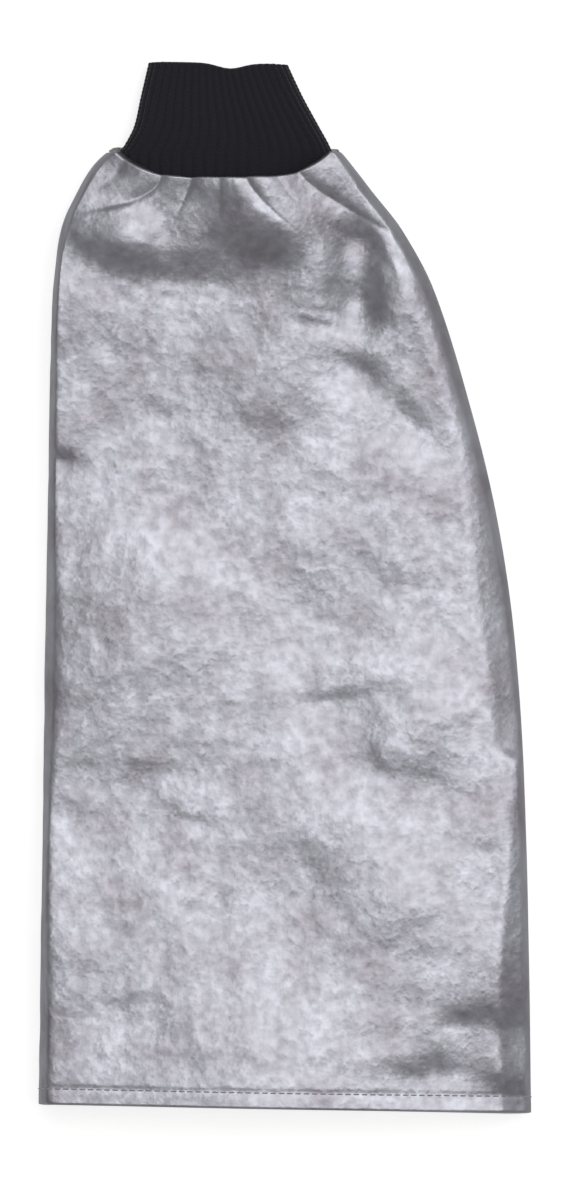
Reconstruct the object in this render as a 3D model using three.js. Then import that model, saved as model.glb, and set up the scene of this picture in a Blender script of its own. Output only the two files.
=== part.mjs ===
// An aluminised heat-shield sleeve for one arm, lying flat: a hollow body of coated cloth with a turned
// hem at the arm's mouth, gathered at its other end over a ribbed knit wrist cuff.
// Millimetres, +Z up. It lies on z = 0 with its length along Y and the cuff towards +Y, and the origin
// is under the middle of its outline.

import * as THREE from "three";

// Driving sizes
const SLEEVE_LENGTH = 457; // lowest point of the hem to the cuff's end, an 18 inch sleeve
const CLOTH_WALL = 1.5; // coated cloth
const KNIT_WALL = 2.4; // doubled rib knit
const HEM_DEPTH = 7; // height of the turned hem
const HEM_TURN = 1.3; // what the turned-in cloth adds to the wall
const HEM_GROOVE = { depth: 0.45, halfWidth: 1.3 }; // the stitching pulls the cloth in along this line
const MOUTH_SLANT = 3.9; // the mouth's left end lies this much further in than its right end
const MOUTH_STEP = 2; // the upper layer's hem lies this much further in than the lower layer's
const MOUTH_REACH = 60; // the mouth's slant and step fade out over this length
const NECK_DIP = { upper: 10.5, lower: 6 }; // how far the gathered edge dips in the middle of each layer
const NECK_SCALLOP = 0.3; // a gather's valley draws the gathered edge down by this share of its depth
const NECK_REACH = 45; // the dip fades out over this length of the body
const GATHER_SPREAD = 0.6; // a gather is wider by this share where it fades out
const LOWER_GATHER = 0.15; // share of a gather's depth that the lower layer has, pressed on the table
const CROWN = 1.4; // the upper layer's rise between its two edges
const RIB_DEPTH = 0.7; // valley of the knit's ribs
const CUFF_DIP = { at: 0.61, halfWidth: 0.16, depth: 2.4 }; // hollow in the cuff's end, by share across
const CUFF_SLANT = 0.8; // the cuff's right corner lies this much further in than its left one
const CUFF_REACH = 26; // the dip and the slant fade out over this length of the cuff
const CUFF_EDGE = { length: 1.2, inset: 0.8 }; // rounding of the knit's folded end

// The body, a row for each section. along is the distance from the hem, left and right are the edges
// either side of the middle line, height is the upper layer's, and the rolls are how far in the side
// edges round over.
const BODY_SECTIONS = [
  { along: 0, left: 107, right: 107, height: 25, leftRoll: 3, rightRoll: 3 },
  { along: 120, left: 105.3, right: 104.8, height: 26.5, leftRoll: 3, rightRoll: 3 },
  { along: 200, left: 104.2, right: 100.4, height: 27.5, leftRoll: 3, rightRoll: 3 },
  { along: 255, left: 103.2, right: 92.9, height: 28, leftRoll: 3, rightRoll: 3.5 },
  { along: 306, left: 102.2, right: 80.8, height: 28, leftRoll: 3, rightRoll: 4 },
  { along: 358, left: 100.8, right: 64.6, height: 28, leftRoll: 4, rightRoll: 5 },
  { along: 384, left: 97.2, right: 50.8, height: 28, leftRoll: 5, rightRoll: 5 },
  { along: 401, left: 90.2, right: 37.4, height: 26.6, leftRoll: 6, rightRoll: 6 },
  { along: 411, left: 84.2, right: 29.6, height: 24.6, leftRoll: 6, rightRoll: 6 },
  { along: 416.5, left: 79.4, right: 25.2, height: 22, leftRoll: 6, rightRoll: 6 },
  { along: 418, left: 75.2, right: 22.9, height: 17.4, leftRoll: 6, rightRoll: 6 },
];

// The strip beside the seam, from the crest of the upper layer to the right edge. fall is its slope at the
// crest, and curl is what the slope gains on the way to the edge.
const SEAM_STRIP = [
  { along: 0, width: 10, fall: 0.42, curl: 0 },
  { along: 41, width: 13, fall: 0.42, curl: 0 },
  { along: 84, width: 11.5, fall: 0.4, curl: 0 },
  { along: 110, width: 8, fall: 0.38, curl: 0 },
  { along: 152, width: 6, fall: 0.2, curl: 0.2 },
  { along: 190, width: 12, fall: 0.12, curl: 0.3 },
  { along: 214, width: 15, fall: 0.16, curl: 0.26 },
  { along: 249, width: 14, fall: 0.1, curl: 0.5 },
  { along: 292, width: 11, fall: 0.05, curl: 0.8 },
  { along: 351, width: 12, fall: 0.03, curl: 0.9 },
  { along: 380, width: 11.5, fall: 0.03, curl: 0.9 },
];

// How the upper layer comes down to the folded left edge
const FOLD_BENDS = [
  { along: 0, width: 9, drop: 1.2 },
  { along: 40, width: 9, drop: 1.3 },
  { along: 84, width: 6, drop: 0.6 },
  { along: 128, width: 6, drop: 0.5 },
  { along: 214, width: 11, drop: 1.3 },
  { along: 310, width: 9, drop: 0.9 },
  { along: 380, width: 6, drop: 0.8 },
];

// The cuff, a row for each section. lift is how far its lower face stands off the table.
const CUFF_SECTIONS = [
  { along: 398, left: 72, right: 19.8, height: 11.6, lift: 2.4, leftRoll: 6, rightRoll: 6 },
  { along: 416, left: 73.2, right: 21, height: 12, lift: 2.3, leftRoll: 6, rightRoll: 6 },
  { along: 421, left: 69.8, right: 19.3, height: 12.2, lift: 2.1, leftRoll: 6, rightRoll: 6 },
  { along: 429, left: 65.8, right: 14.9, height: 12.6, lift: 1.5, leftRoll: 6, rightRoll: 6 },
  { along: 441, left: 63.1, right: 8.5, height: 12.8, lift: 0.6, leftRoll: 6, rightRoll: 6 },
  { along: 457, left: 59.4, right: 1.2, height: 12.6, lift: 0, leftRoll: 6, rightRoll: 6 },
];

// The gathers, a row for each valley between two lobes. at is its place across the gathered edge. Down the
// body it leans outwards by fan and curves by bend, and it fades out over reach.
const GATHERS = [
  { at: -69, fan: -0.5, bend: -0.02, reach: 14, halfWidth: 2.6, depth: 0.9 },
  { at: -53.4, fan: -0.1, bend: -0.047, reach: 30, halfWidth: 2.6, depth: 1.8 },
  { at: -40, fan: -0.28, bend: 0, reach: 17, halfWidth: 2.6, depth: 1.6 },
  { at: -28, fan: 0, bend: 0, reach: 16, halfWidth: 2.4, depth: 0.9 },
  { at: -17.4, fan: 0.5, bend: 0.005, reach: 26, halfWidth: 2.6, depth: 1.7 },
  { at: -4, fan: 0.6, bend: 0, reach: 14, halfWidth: 2.4, depth: 0.9 },
  { at: 7.8, fan: 0.8, bend: 0.01, reach: 28, halfWidth: 2.6, depth: 1.8 },
  { at: 18, fan: 1.1, bend: 0, reach: 12, halfWidth: 2.4, depth: 0.9 },
];

// The upper layer's dents (depth above zero) and puffs (below zero), a row for each fold. x and along
// place its middle, turn is its long axis in degrees from +X, and the half sizes are where it has faded.
// A fold is steep on the side to the left of its axis, and ease times as wide on the other side.
const FOLDS = [
  { x: -62, along: 362, turn: -11, halfLength: 27, halfWidth: 9, depth: 4.4, ease: 1.3 },
  { x: -20, along: 364, turn: 0, halfLength: 21, halfWidth: 23, depth: 6.6, ease: 0.6 },
  { x: -6, along: 361, turn: -10, halfLength: 22, halfWidth: 8, depth: 1.4, ease: 1.3 },
  { x: 32, along: 377, turn: -36, halfLength: 16, halfWidth: 8, depth: 3.6, ease: 2 },
  { x: 34.5, along: 352, turn: -70, halfLength: 14, halfWidth: 9, depth: 5, ease: 2 },
  { x: 40, along: 318, turn: -37, halfLength: 22, halfWidth: 8, depth: 2.2, ease: 2 },
  { x: -59, along: 388, turn: -14, halfLength: 18, halfWidth: 7, depth: -1.4, ease: 2 },
  { x: 8, along: 383, turn: -52, halfLength: 22, halfWidth: 7, depth: -1.6, ease: 2 },
  { x: -99, along: 280, turn: -20, halfLength: 10, halfWidth: 6, depth: 1.6, ease: 2 },
  { x: -45, along: 238, turn: 28, halfLength: 46, halfWidth: 20, depth: -1.8, ease: 2 },
  { x: 39, along: 151, turn: -18, halfLength: 26, halfWidth: 9, depth: 1.2, ease: 2 },
  { x: -72, along: 140, turn: -14, halfLength: 36, halfWidth: 14, depth: 1.8, ease: 2 },
  { x: 70, along: 36, turn: 10, halfLength: 13, halfWidth: 8, depth: 2, ease: 2 },
];

// The body's rings, a row for each stretch from the hem to the gathered edge
const BODY_STRETCHES = [
  { to: HEM_DEPTH - HEM_GROOVE.halfWidth, rings: 1 },
  { to: HEM_DEPTH, rings: 1 },
  { to: HEM_DEPTH + HEM_GROOVE.halfWidth, rings: 1 },
  { to: 340, rings: 14 },
  { to: 408, rings: 11 },
  { to: 416.5, rings: 3 },
  { to: 418, rings: 1 },
];
const BODY_POSTS = { perRoll: 6, perUpper: 32, perLower: 10 };
const STRIP_FROM = 1 - 2 / BODY_POSTS.perUpper; // the upper layer's last two spans lie on the seam's strip
const CUFF_RINGS = 5;
const CUFF_POSTS = { perRoll: 14, perUpper: 34, perLower: 34 }; // two posts to a rib

const QUARTER_TURN = Math.PI / 2;
const NECK = BODY_SECTIONS.at(-1);
const WRIST = CUFF_SECTIONS.at(-1);

const aluminisedCloth = new THREE.MeshStandardMaterial({ color: 0xbbbac4, roughness: 0.45, metalness: 0.9 });
const blackKnit = new THREE.MeshStandardMaterial({ color: 0x232228, roughness: 0.95, metalness: 0 });

const range = (count) => Array.from({ length: count }, (_, i) => i);
const bell = (offset, halfWidth) => Math.exp(-((offset / halfWidth) ** 2));

// One column of a table of sections at a place along the sleeve, on a smooth curve through its rows.
function readColumn(rows, name, along) {
  const found = rows.findIndex((row) => row.along >= along);
  const next = found < 0 ? rows.length - 1 : Math.max(found, 1);
  const slope = (i) => {
    const before = rows[Math.max(i - 1, 0)];
    const after = rows[Math.min(i + 1, rows.length - 1)];
    return (after[name] - before[name]) / (after.along - before.along);
  };
  const [a, b] = [rows[next - 1], rows[next]];
  const step = b.along - a.along;
  const t = THREE.MathUtils.clamp((along - a.along) / step, 0, 1);
  const ease = t * t * (3 - 2 * t);
  const tangents = slope(next - 1) * t * (1 - t) ** 2 - slope(next) * t * t * (1 - t);
  return a[name] + (b[name] - a[name]) * ease + tangents * step;
}

function readSection(rows, along) {
  const names = Object.keys(rows[0]);
  return Object.fromEntries(names.map((name) => [name, readColumn(rows, name, along)]));
}

// Posts round a flattened tube, anticlockwise seen from the mouth: up the right-hand roll, across the
// upper layer, down the left-hand roll and back along the lower layer. across runs from the left roll to
// the right one, and turn is the roll's angle, a quarter turn up on the upper layer.
function postsRound({ perRoll, perUpper, perLower }) {
  const rise = (i) => -QUARTER_TURN + (Math.PI * i) / perRoll;
  return [
    ...range(perRoll).map((i) => ({ across: 1, turn: rise(i) })),
    ...range(perUpper).map((i) => ({ across: 1 - i / perUpper, turn: QUARTER_TURN })),
    ...range(perRoll).map((i) => ({ across: 0, turn: -rise(i) })),
    ...range(perLower).map((i) => ({ across: i / perLower, turn: -QUARTER_TURN })),
  ];
}

// How much a post belongs to the upper layer: 1 on it, 0 on the lower layer, between them on a roll.
const upperShare = (post) => (1 + Math.sin(post.turn)) / 2;

// A post's place across and above the table in one section.
function tubePoint(section, post) {
  const flatLeft = section.leftRoll - section.left;
  const flatRight = section.right - section.rightRoll;
  const roll = post.across > 0.5 ? section.rightRoll : -section.leftRoll;
  const x = THREE.MathUtils.lerp(flatLeft, flatRight, post.across) + roll * Math.cos(post.turn);
  return { x, z: (section.lift ?? 0) + section.height * upperShare(post) };
}

// The depth of all the gathers at a place that lies down the body by drop from the gathered edge.
function gatherDepth(x, drop) {
  const valley = ({ at, fan, bend, reach, halfWidth, depth }) => {
    const slant = Math.hypot(1, fan + 2 * bend * drop);
    const offset = x - at - fan * drop - bend * drop * drop;
    const spread = 1 + (GATHER_SPREAD * drop) / reach;
    return depth * bell(drop, reach) * bell(offset, halfWidth * slant * spread);
  };
  return GATHERS.reduce((sum, row) => sum + valley(row), 0);
}

function foldDepth(x, along) {
  const fold = (row) => {
    const turn = THREE.MathUtils.degToRad(row.turn);
    const offset = new THREE.Vector2(x - row.x, along - row.along).rotateAround(new THREE.Vector2(), -turn);
    const halfWidth = row.halfWidth * (offset.y > 0 ? 1 : row.ease);
    return row.depth * bell(offset.x, row.halfLength) * bell(offset.y, halfWidth);
  };
  return FOLDS.reduce((sum, row) => sum + fold(row), 0);
}

// An upper post's place across the body, with the last posts on the strip beside the seam.
function upperPlace(section, strip, across) {
  const crest = section.right - strip.width;
  if (across < STRIP_FROM) {
    return THREE.MathUtils.mapLinear(across, 0, STRIP_FROM, section.leftRoll - section.left, crest);
  }
  return THREE.MathUtils.mapLinear(across, STRIP_FROM, 1, crest, section.right - section.rightRoll);
}

// How far the upper layer comes down towards the seam and towards the folded edge.
function edgeDrop(x, section, strip, bend) {
  const intoStrip = Math.max(strip.width - (section.right - x), 0);
  const slope = intoStrip * (strip.fall + (strip.curl * intoStrip) / (2 * strip.width));
  return slope + bend.drop * Math.max(1 - (section.left + x) / bend.width, 0) ** 2;
}

// The body's outer face at a ring's place along the sleeve.
function bodyPoint(ringAlong, post) {
  const section = readSection(BODY_SECTIONS, ringAlong);
  const strip = readSection(SEAM_STRIP, ringAlong);
  const bend = readSection(FOLD_BENDS, ringAlong);
  const point = tubePoint(section, post);
  const upper = upperShare(post);
  if (upper === 1) {
    point.x = upperPlace(section, strip, post.across);
  }
  const mouthFade = 1 - THREE.MathUtils.smoothstep(ringAlong, 0, MOUTH_REACH);
  const neckFade = THREE.MathUtils.smoothstep(ringAlong, NECK.along - NECK_REACH, NECK.along);
  const midLine = 4 * post.across * (1 - post.across);
  const drop = NECK.along - ringAlong;
  const gather = gatherDepth(point.x, drop);
  const dip = THREE.MathUtils.lerp(NECK_DIP.lower, NECK_DIP.upper, upper) * midLine;
  const scallop = NECK_SCALLOP * gatherDepth(point.x, 0);
  const mouth = MOUTH_SLANT * (1 - post.across) + MOUTH_STEP * upper;
  const along = ringAlong + mouth * mouthFade - (dip + scallop * upper) * neckFade;
  const groove = HEM_GROOVE.depth * bell(ringAlong - HEM_DEPTH, HEM_GROOVE.halfWidth);
  const crown = CROWN * midLine * (1 - neckFade);
  const edges = edgeDrop(point.x, section, strip, bend) * (1 - neckFade);
  const lowered = foldDepth(point.x, along) + gather + groove + edges - crown;
  const raised = LOWER_GATHER * gather * (1 - upper) * Math.sin(Math.PI * post.across);
  return new THREE.Vector3(point.x, along - SLEEVE_LENGTH / 2, point.z - lowered * upper + raised);
}

// The cuff's outer face. Every second post is a valley between two ribs, and inset draws the face in.
function cuffPoint(ringAlong, post, inset) {
  const section = readSection(CUFF_SECTIONS, ringAlong);
  const point = tubePoint(
    {
      ...section,
      left: section.left - inset,
      right: section.right - inset,
      lift: section.lift + inset,
      height: section.height - 2 * inset,
    },
    post,
  );
  const endFade = THREE.MathUtils.smoothstep(ringAlong, WRIST.along - CUFF_REACH, WRIST.along);
  const dip = CUFF_DIP.depth * bell(post.across - CUFF_DIP.at, CUFF_DIP.halfWidth);
  const along = ringAlong - (CUFF_SLANT * post.across + dip) * endFade;
  return new THREE.Vector3(point.x, along - SLEEVE_LENGTH / 2, point.z);
}

// The inner face of a wall: each point of the outer grid moved in by that ring's wall.
function innerGrid(outer, wallOf) {
  const step = (a, b) => new THREE.Vector3().subVectors(b, a);
  return outer.map((ring, r) =>
    ring.map((point, p) => {
      const lengthways = step(outer[Math.max(r - 1, 0)][p], outer[Math.min(r + 1, outer.length - 1)][p]);
      const round = step(ring[(p + ring.length - 1) % ring.length], ring[(p + 1) % ring.length]);
      const outwards = new THREE.Vector3().crossVectors(lengthways, round).normalize();
      return point.clone().addScaledVector(outwards, -wallOf(r));
    }),
  );
}

// A closed wall between an outer and an inner grid of rings.
function wallGeometry(outer, inner) {
  const [rings, posts] = [outer.length, outer[0].length];
  const outerAt = (r, p) => r * posts + (p % posts);
  const innerAt = (r, p) => rings * posts + outerAt(r, p);
  const quad = (a, b, c, d) => [a, b, c, a, c, d];
  const index = [];
  for (const p of range(posts)) {
    for (const r of range(rings - 1)) {
      index.push(...quad(outerAt(r, p), outerAt(r + 1, p), outerAt(r + 1, p + 1), outerAt(r, p + 1)));
      index.push(...quad(innerAt(r, p), innerAt(r, p + 1), innerAt(r + 1, p + 1), innerAt(r + 1, p)));
    }
    const end = rings - 1;
    index.push(...quad(outerAt(0, p), outerAt(0, p + 1), innerAt(0, p + 1), innerAt(0, p)));
    index.push(...quad(outerAt(end, p), innerAt(end, p), innerAt(end, p + 1), outerAt(end, p + 1)));
  }
  const geometry = new THREE.BufferGeometry().setFromPoints([...outer.flat(), ...inner.flat()]);
  geometry.setIndex(index);
  geometry.computeVertexNormals();
  return geometry;
}

function namedMesh(name, geometry, material) {
  const mesh = new THREE.Mesh(geometry, material);
  mesh.name = name;
  return mesh;
}

// The cloth body, with the hem's extra layer on the inside of the wall
function sleeveBody() {
  const posts = postsRound(BODY_POSTS);
  const places = [0];
  for (const { to, rings } of BODY_STRETCHES) {
    const from = places.at(-1);
    places.push(...range(rings).map((i) => from + ((to - from) * (i + 1)) / rings));
  }
  const outer = places.map((along) => posts.map((post) => bodyPoint(along, post)));
  const wallOf = (ring) => CLOTH_WALL + (places[ring] <= HEM_DEPTH ? HEM_TURN : 0);
  return namedMesh("sleeve_body", wallGeometry(outer, innerGrid(outer, wallOf)), aluminisedCloth);
}

// The ribbed cuff, its tucked end inside the gathers and its free end rounded over
function knitCuff() {
  const posts = postsRound(CUFF_POSTS);
  const tucked = CUFF_SECTIONS[0].along;
  const edge = WRIST.along - CUFF_EDGE.length;
  const places = range(CUFF_RINGS + 1).map((i) => tucked + ((edge - tucked) * i) / CUFF_RINGS);
  const ring = (along, inset, rib) =>
    posts.map((post, p) => cuffPoint(along, post, inset + (p % 2 ? rib : 0)));
  const outer = [
    ...places.map((along) => ring(along, 0, RIB_DEPTH)),
    ring(WRIST.along, CUFF_EDGE.inset, RIB_DEPTH / 2),
  ];
  const inner = [
    ...places.map((along) => ring(along, KNIT_WALL, 0)),
    ring(WRIST.along, KNIT_WALL - CUFF_EDGE.inset, 0),
  ];
  return namedMesh("knit_cuff", wallGeometry(outer, inner), blackKnit);
}

const sleeve = new THREE.Group();
sleeve.add(sleeveBody(), knitCuff());

export default sleeve;
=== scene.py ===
"""An aluminised work sleeve, laid flat and seen from straight above, built around its packed frame.

The cloth body, its hem stitching and the rib knit cuff are each made by an operator of their own. Tables
and surface functions are in millimetres, and meshes and properties are in metres.
"""
import math
from collections import namedtuple

import bpy
import numpy as np
from bpy.props import FloatProperty, FloatVectorProperty, PointerProperty
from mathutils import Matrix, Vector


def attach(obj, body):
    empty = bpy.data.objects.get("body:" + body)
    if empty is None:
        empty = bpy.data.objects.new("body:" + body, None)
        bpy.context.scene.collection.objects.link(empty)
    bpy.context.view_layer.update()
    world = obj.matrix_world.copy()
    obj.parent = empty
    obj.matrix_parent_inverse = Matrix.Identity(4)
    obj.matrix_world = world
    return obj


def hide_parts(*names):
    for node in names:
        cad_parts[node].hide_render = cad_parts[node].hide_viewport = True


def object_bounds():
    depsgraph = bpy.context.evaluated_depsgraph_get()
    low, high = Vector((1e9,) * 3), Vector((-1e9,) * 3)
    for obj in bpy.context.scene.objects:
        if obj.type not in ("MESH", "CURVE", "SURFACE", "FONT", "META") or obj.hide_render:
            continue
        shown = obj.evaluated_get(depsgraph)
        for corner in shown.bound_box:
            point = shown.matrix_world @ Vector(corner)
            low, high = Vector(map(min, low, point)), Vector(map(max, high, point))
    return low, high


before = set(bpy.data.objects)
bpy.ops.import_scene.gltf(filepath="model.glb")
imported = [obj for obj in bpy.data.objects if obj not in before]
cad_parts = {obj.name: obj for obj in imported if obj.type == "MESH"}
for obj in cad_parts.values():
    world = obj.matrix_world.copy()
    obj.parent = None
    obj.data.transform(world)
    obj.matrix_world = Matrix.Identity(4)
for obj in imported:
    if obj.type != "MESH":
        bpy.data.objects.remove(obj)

bl_info = {
    "name": "Aluminised Work Sleeve",
    "version": (1, 0, 0),
    "blender": (4, 5, 0),
    "location": "3D View > Sidebar > Sleeve",
    "description": "Builds an aluminised cloth sleeve with a rib knit cuff around its packed frame",
    "category": "Object",
}

MM = 0.001
CAD_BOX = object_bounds()
SLEEVE_LENGTH = round((CAD_BOX[1][1] - CAD_BOX[0][1]) / MM)  # lowest point of the hem to the cuff's end

# The arm mouth and its hem
HEM_DEPTH = 7  # height of the turned hem
HEM_TURN = 1.3  # what the turned-in cloth adds to the wall
HEM_GROOVE = {"depth": 0.3, "half_width": 1.3}  # the stitching pulls the cloth in along this line
MOUTH_SLANT = 3.9  # the mouth's left end lies this much further in than its right end
MOUTH_STEP = 1.2  # the upper layer's hem lies this much further in than the lower layer's
MOUTH_REACH = 60  # the slant and the step fade out over this length

# The gathered edge dips between its two ends, flat in the middle, by these depths on the two layers.
NECK_DIP = {"upper": 11, "lower": 6, "power": 4}
NECK_SCALLOP = 0.3  # share of a gather's depth that its valley draws the gathered edge down
NECK_REACH = 45  # the dip and the scallops fade out over this length
# The gathered edge rounds over and turns under, on to the cuff, and its valleys go further in.
NECK_TUCK = {"length": 1.3, "height": 16.6, "depth": 0.8, "pleat": 2, "power": 6}
LOWER_GATHER = 0.15  # share of a gather's depth that shows on the lower layer

# The two layers and the sides between them
CROWN = 1.4  # the upper layer's rise between its two rolled edges
UNDER_ROLL = 10  # the lower half of each side rounds under over this width
SIDE_SLACK = 2.4  # the lower half of each side is dented by this many times the crumple
SHOULDER_SLACK = 1.8  # and the upper half of the folded side by this many times
# The widest line of each side wanders up and down, in a long wave and a short one of half its height.
SIDE_WANDER = {"height": 2.5, "long": 137, "short": 61}

# The cuff's end
CUFF_DIP = {"at": 0.61, "half_width": 0.16, "depth": 2.4}  # a dip at this share of the way across
CUFF_SLANT = 0.8  # the right-hand corner lies this much further in than the left-hand one
CUFF_REACH = 26  # the dip and the slant fade out over this length

# Sections across the two tubes. left and right are measured from the frame's middle line, a roll is the
# width of a rounded side, and lift is the height of the underside.
Section = namedtuple("Section", "along left right height left_roll right_roll lift", defaults=(0,))
BODY_SECTIONS = (
    Section(along=0, left=107, right=107, height=29.4, left_roll=3.6, right_roll=3),
    Section(along=120, left=105.3, right=104.8, height=24.6, left_roll=2.4, right_roll=3),
    Section(along=200, left=104.2, right=100.4, height=22.8, left_roll=4, right_roll=3.2),
    Section(along=255, left=103.2, right=92.9, height=22.4, left_roll=3, right_roll=4),
    Section(along=306, left=102.2, right=80.8, height=23.8, left_roll=2.6, right_roll=5),
    Section(along=358, left=100.8, right=64.6, height=27.4, left_roll=2.4, right_roll=6),
    Section(along=384, left=97.2, right=50.8, height=29.4, left_roll=3, right_roll=6),
    Section(along=401, left=90.2, right=37.4, height=30.2, left_roll=4, right_roll=6),
    Section(along=411, left=84.2, right=29.6, height=31.6, left_roll=4.6, right_roll=5),
    Section(along=417.2, left=77.8, right=24.4, height=32.6, left_roll=5, right_roll=5),
    Section(along=418, left=75.2, right=22.9, height=32.6, left_roll=5, right_roll=5),
)
NECK = BODY_SECTIONS[-1].along
CUFF_SECTIONS = (
    Section(along=398, left=72, right=19.8, height=11.6, left_roll=6, right_roll=6, lift=2.4),
    Section(along=416, left=73.2, right=21, height=12, left_roll=6, right_roll=6, lift=2.3),
    Section(along=421, left=69.8, right=19.3, height=12.2, left_roll=6, right_roll=6, lift=2.1),
    Section(along=429, left=65.8, right=14.9, height=12.6, left_roll=6, right_roll=6, lift=1.5),
    Section(along=441, left=63.1, right=8.5, height=12.8, left_roll=6, right_roll=6, lift=0.6),
    Section(along=457, left=59.4, right=1.2, height=12.6, left_roll=6, right_roll=6, lift=0),
)
CUFF_END = CUFF_SECTIONS[-1].along

# The gathers: each is a valley at a place across the gathered edge. Down the body it leans by its fan,
# curves by its bend and fades over its reach.
Gather = namedtuple("Gather", "at fan bend reach half_width depth")
GATHERS = (
    Gather(at=-69, fan=-0.5, bend=-0.02, reach=14, half_width=2, depth=0.9),
    Gather(at=-53.4, fan=-0.1, bend=-0.047, reach=30, half_width=2, depth=1.8),
    Gather(at=-40, fan=-0.28, bend=0, reach=17, half_width=2, depth=1.6),
    Gather(at=-28, fan=0, bend=0, reach=16, half_width=1.8, depth=0.8),
    Gather(at=-17.4, fan=0.5, bend=0.005, reach=20, half_width=2, depth=1.7),
    Gather(at=-4, fan=0.6, bend=0, reach=14, half_width=1.8, depth=0.8),
    Gather(at=5, fan=0.7, bend=0.012, reach=28, half_width=2.4, depth=2.4),
    Gather(at=18, fan=1.1, bend=0, reach=12, half_width=2, depth=0.9),
)
# Where a gather is pinched, it is a crease in a broad sag. Each has a share of the row's depth and a width
# in half widths of the row, and the crease is wider on its left by its ease.
GATHER_CREASE = {"share": 0.55, "width": 2.3, "ease": 2.6, "power": 2.2}
GATHER_SAG = {"share": 0.2475, "width": 2.5}
GATHER_SPREAD = 0.6  # how much a valley widens over its reach

# The upper layer's dents (depth above zero) and puffs (below zero). From its middle each reaches both ways
# along its direction. On the left of that it has its width, and on the right ease times as much.
Fold = namedtuple("Fold", "x along turn reach width depth ease", defaults=(2,))
FOLDS = (
    # Below the gathers, on the left, in the middle and on the right
    Fold(x=-54, along=360, turn=-2, reach=26, width=10, depth=2, ease=4),
    Fold(x=-76, along=408, turn=-20, reach=13, width=8, depth=1.2),
    Fold(x=-104, along=388, turn=-62, reach=16, width=15, depth=2.8),
    Fold(x=-90, along=418, turn=-90, reach=13, width=30, depth=3.6, ease=1),
    Fold(x=-86, along=372, turn=-30, reach=12, width=6, depth=1.4),
    Fold(x=-66, along=379, turn=-8, reach=21, width=13, depth=-2.6, ease=0.9),
    Fold(x=-22, along=364, turn=0, reach=30, width=22, depth=2.2, ease=0.9),
    Fold(x=-15, along=402, turn=0, reach=21, width=14, depth=-5, ease=1.4),
    Fold(x=16, along=370, turn=0, reach=13, width=15, depth=-1.4, ease=1.4),
    Fold(x=-54, along=383, turn=-65, reach=12, width=9, depth=2, ease=1),
    Fold(x=-3, along=386, turn=-90, reach=15, width=14, depth=-2.8, ease=1.2),
    Fold(x=31, along=378, turn=-42, reach=15, width=11, depth=5, ease=1.3),
    Fold(x=31, along=352, turn=-80, reach=15, width=11.5, depth=5.4, ease=1.1),
    Fold(x=48, along=352, turn=-74, reach=16, width=8, depth=-0.6, ease=1.3),
    Fold(x=31, along=322, turn=-32, reach=14, width=7, depth=2.2, ease=1.6),
    Fold(x=53.5, along=300, turn=-45, reach=11, width=6, depth=1.5),
    Fold(x=15, along=342, turn=-10, reach=12, width=2.5, depth=0.5),
    Fold(x=17, along=348, turn=-6, reach=12, width=2, depth=0.3),
    # Over the forearm, where broad low ridges run down to the right
    Fold(x=-99, along=284, turn=-20, reach=9, width=4, depth=1.4),
    Fold(x=-62, along=328, turn=-15, reach=30, width=14, depth=1.2, ease=1.5),
    Fold(x=-62, along=301, turn=-8, reach=24, width=9, depth=0.9),
    Fold(x=-8, along=294.5, turn=-8, reach=20, width=8, depth=0.7),
    Fold(x=-58, along=228, turn=-30, reach=38, width=24, depth=-3, ease=3.5),
    Fold(x=20, along=225, turn=0, reach=26, width=13, depth=1.2),
    Fold(x=52, along=258, turn=0, reach=24, width=22, depth=-1.4, ease=3),
    Fold(x=46, along=193, turn=2, reach=30, width=9, depth=-1.2),
    Fold(x=65, along=171, turn=0, reach=17, width=15, depth=-1.8, ease=1.5),
    Fold(x=48, along=156, turn=-20, reach=15, width=15, depth=-1.8),
    Fold(x=18, along=130, turn=-56, reach=44, width=22, depth=-1.5, ease=1.2),
    Fold(x=50, along=94, turn=-25, reach=24, width=18, depth=-2.6),
    Fold(x=-70, along=90, turn=-5, reach=32, width=20, depth=-0.8, ease=3),
    Fold(x=-15, along=6, turn=0, reach=45, width=40, depth=-3.4, ease=1),
    Fold(x=25, along=179, turn=9, reach=26, width=5, depth=0.9),
    Fold(x=46, along=146, turn=-14, reach=26, width=6, depth=0.8),
    Fold(x=-72, along=140, turn=-14, reach=36, width=14, depth=1.2),
    Fold(x=-58, along=149, turn=-9, reach=15, width=3.5, depth=0.5),
    Fold(x=-40.6, along=127, turn=-18, reach=10, width=3, depth=0.5),
    # In the lower right corner
    Fold(x=97, along=-4, turn=0, reach=36, width=46, depth=5.4),
    Fold(x=76, along=38, turn=10, reach=13, width=6.5, depth=1.9, ease=3.5),
    Fold(x=99, along=36, turn=-15, reach=13, width=7, depth=1.6),
    Fold(x=63, along=16, turn=6, reach=15, width=8, depth=2),
    Fold(x=97, along=8, turn=-15, reach=18, width=7, depth=2.2),
)

# Beside the seam the upper layer comes down from a crest, over a strip of some width: fall is the slope at
# its crest, and curl is what the slope gains on the way to the edge.
CREST = {"height": 0.2, "half_width": 3, "round": 1.3}
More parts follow.
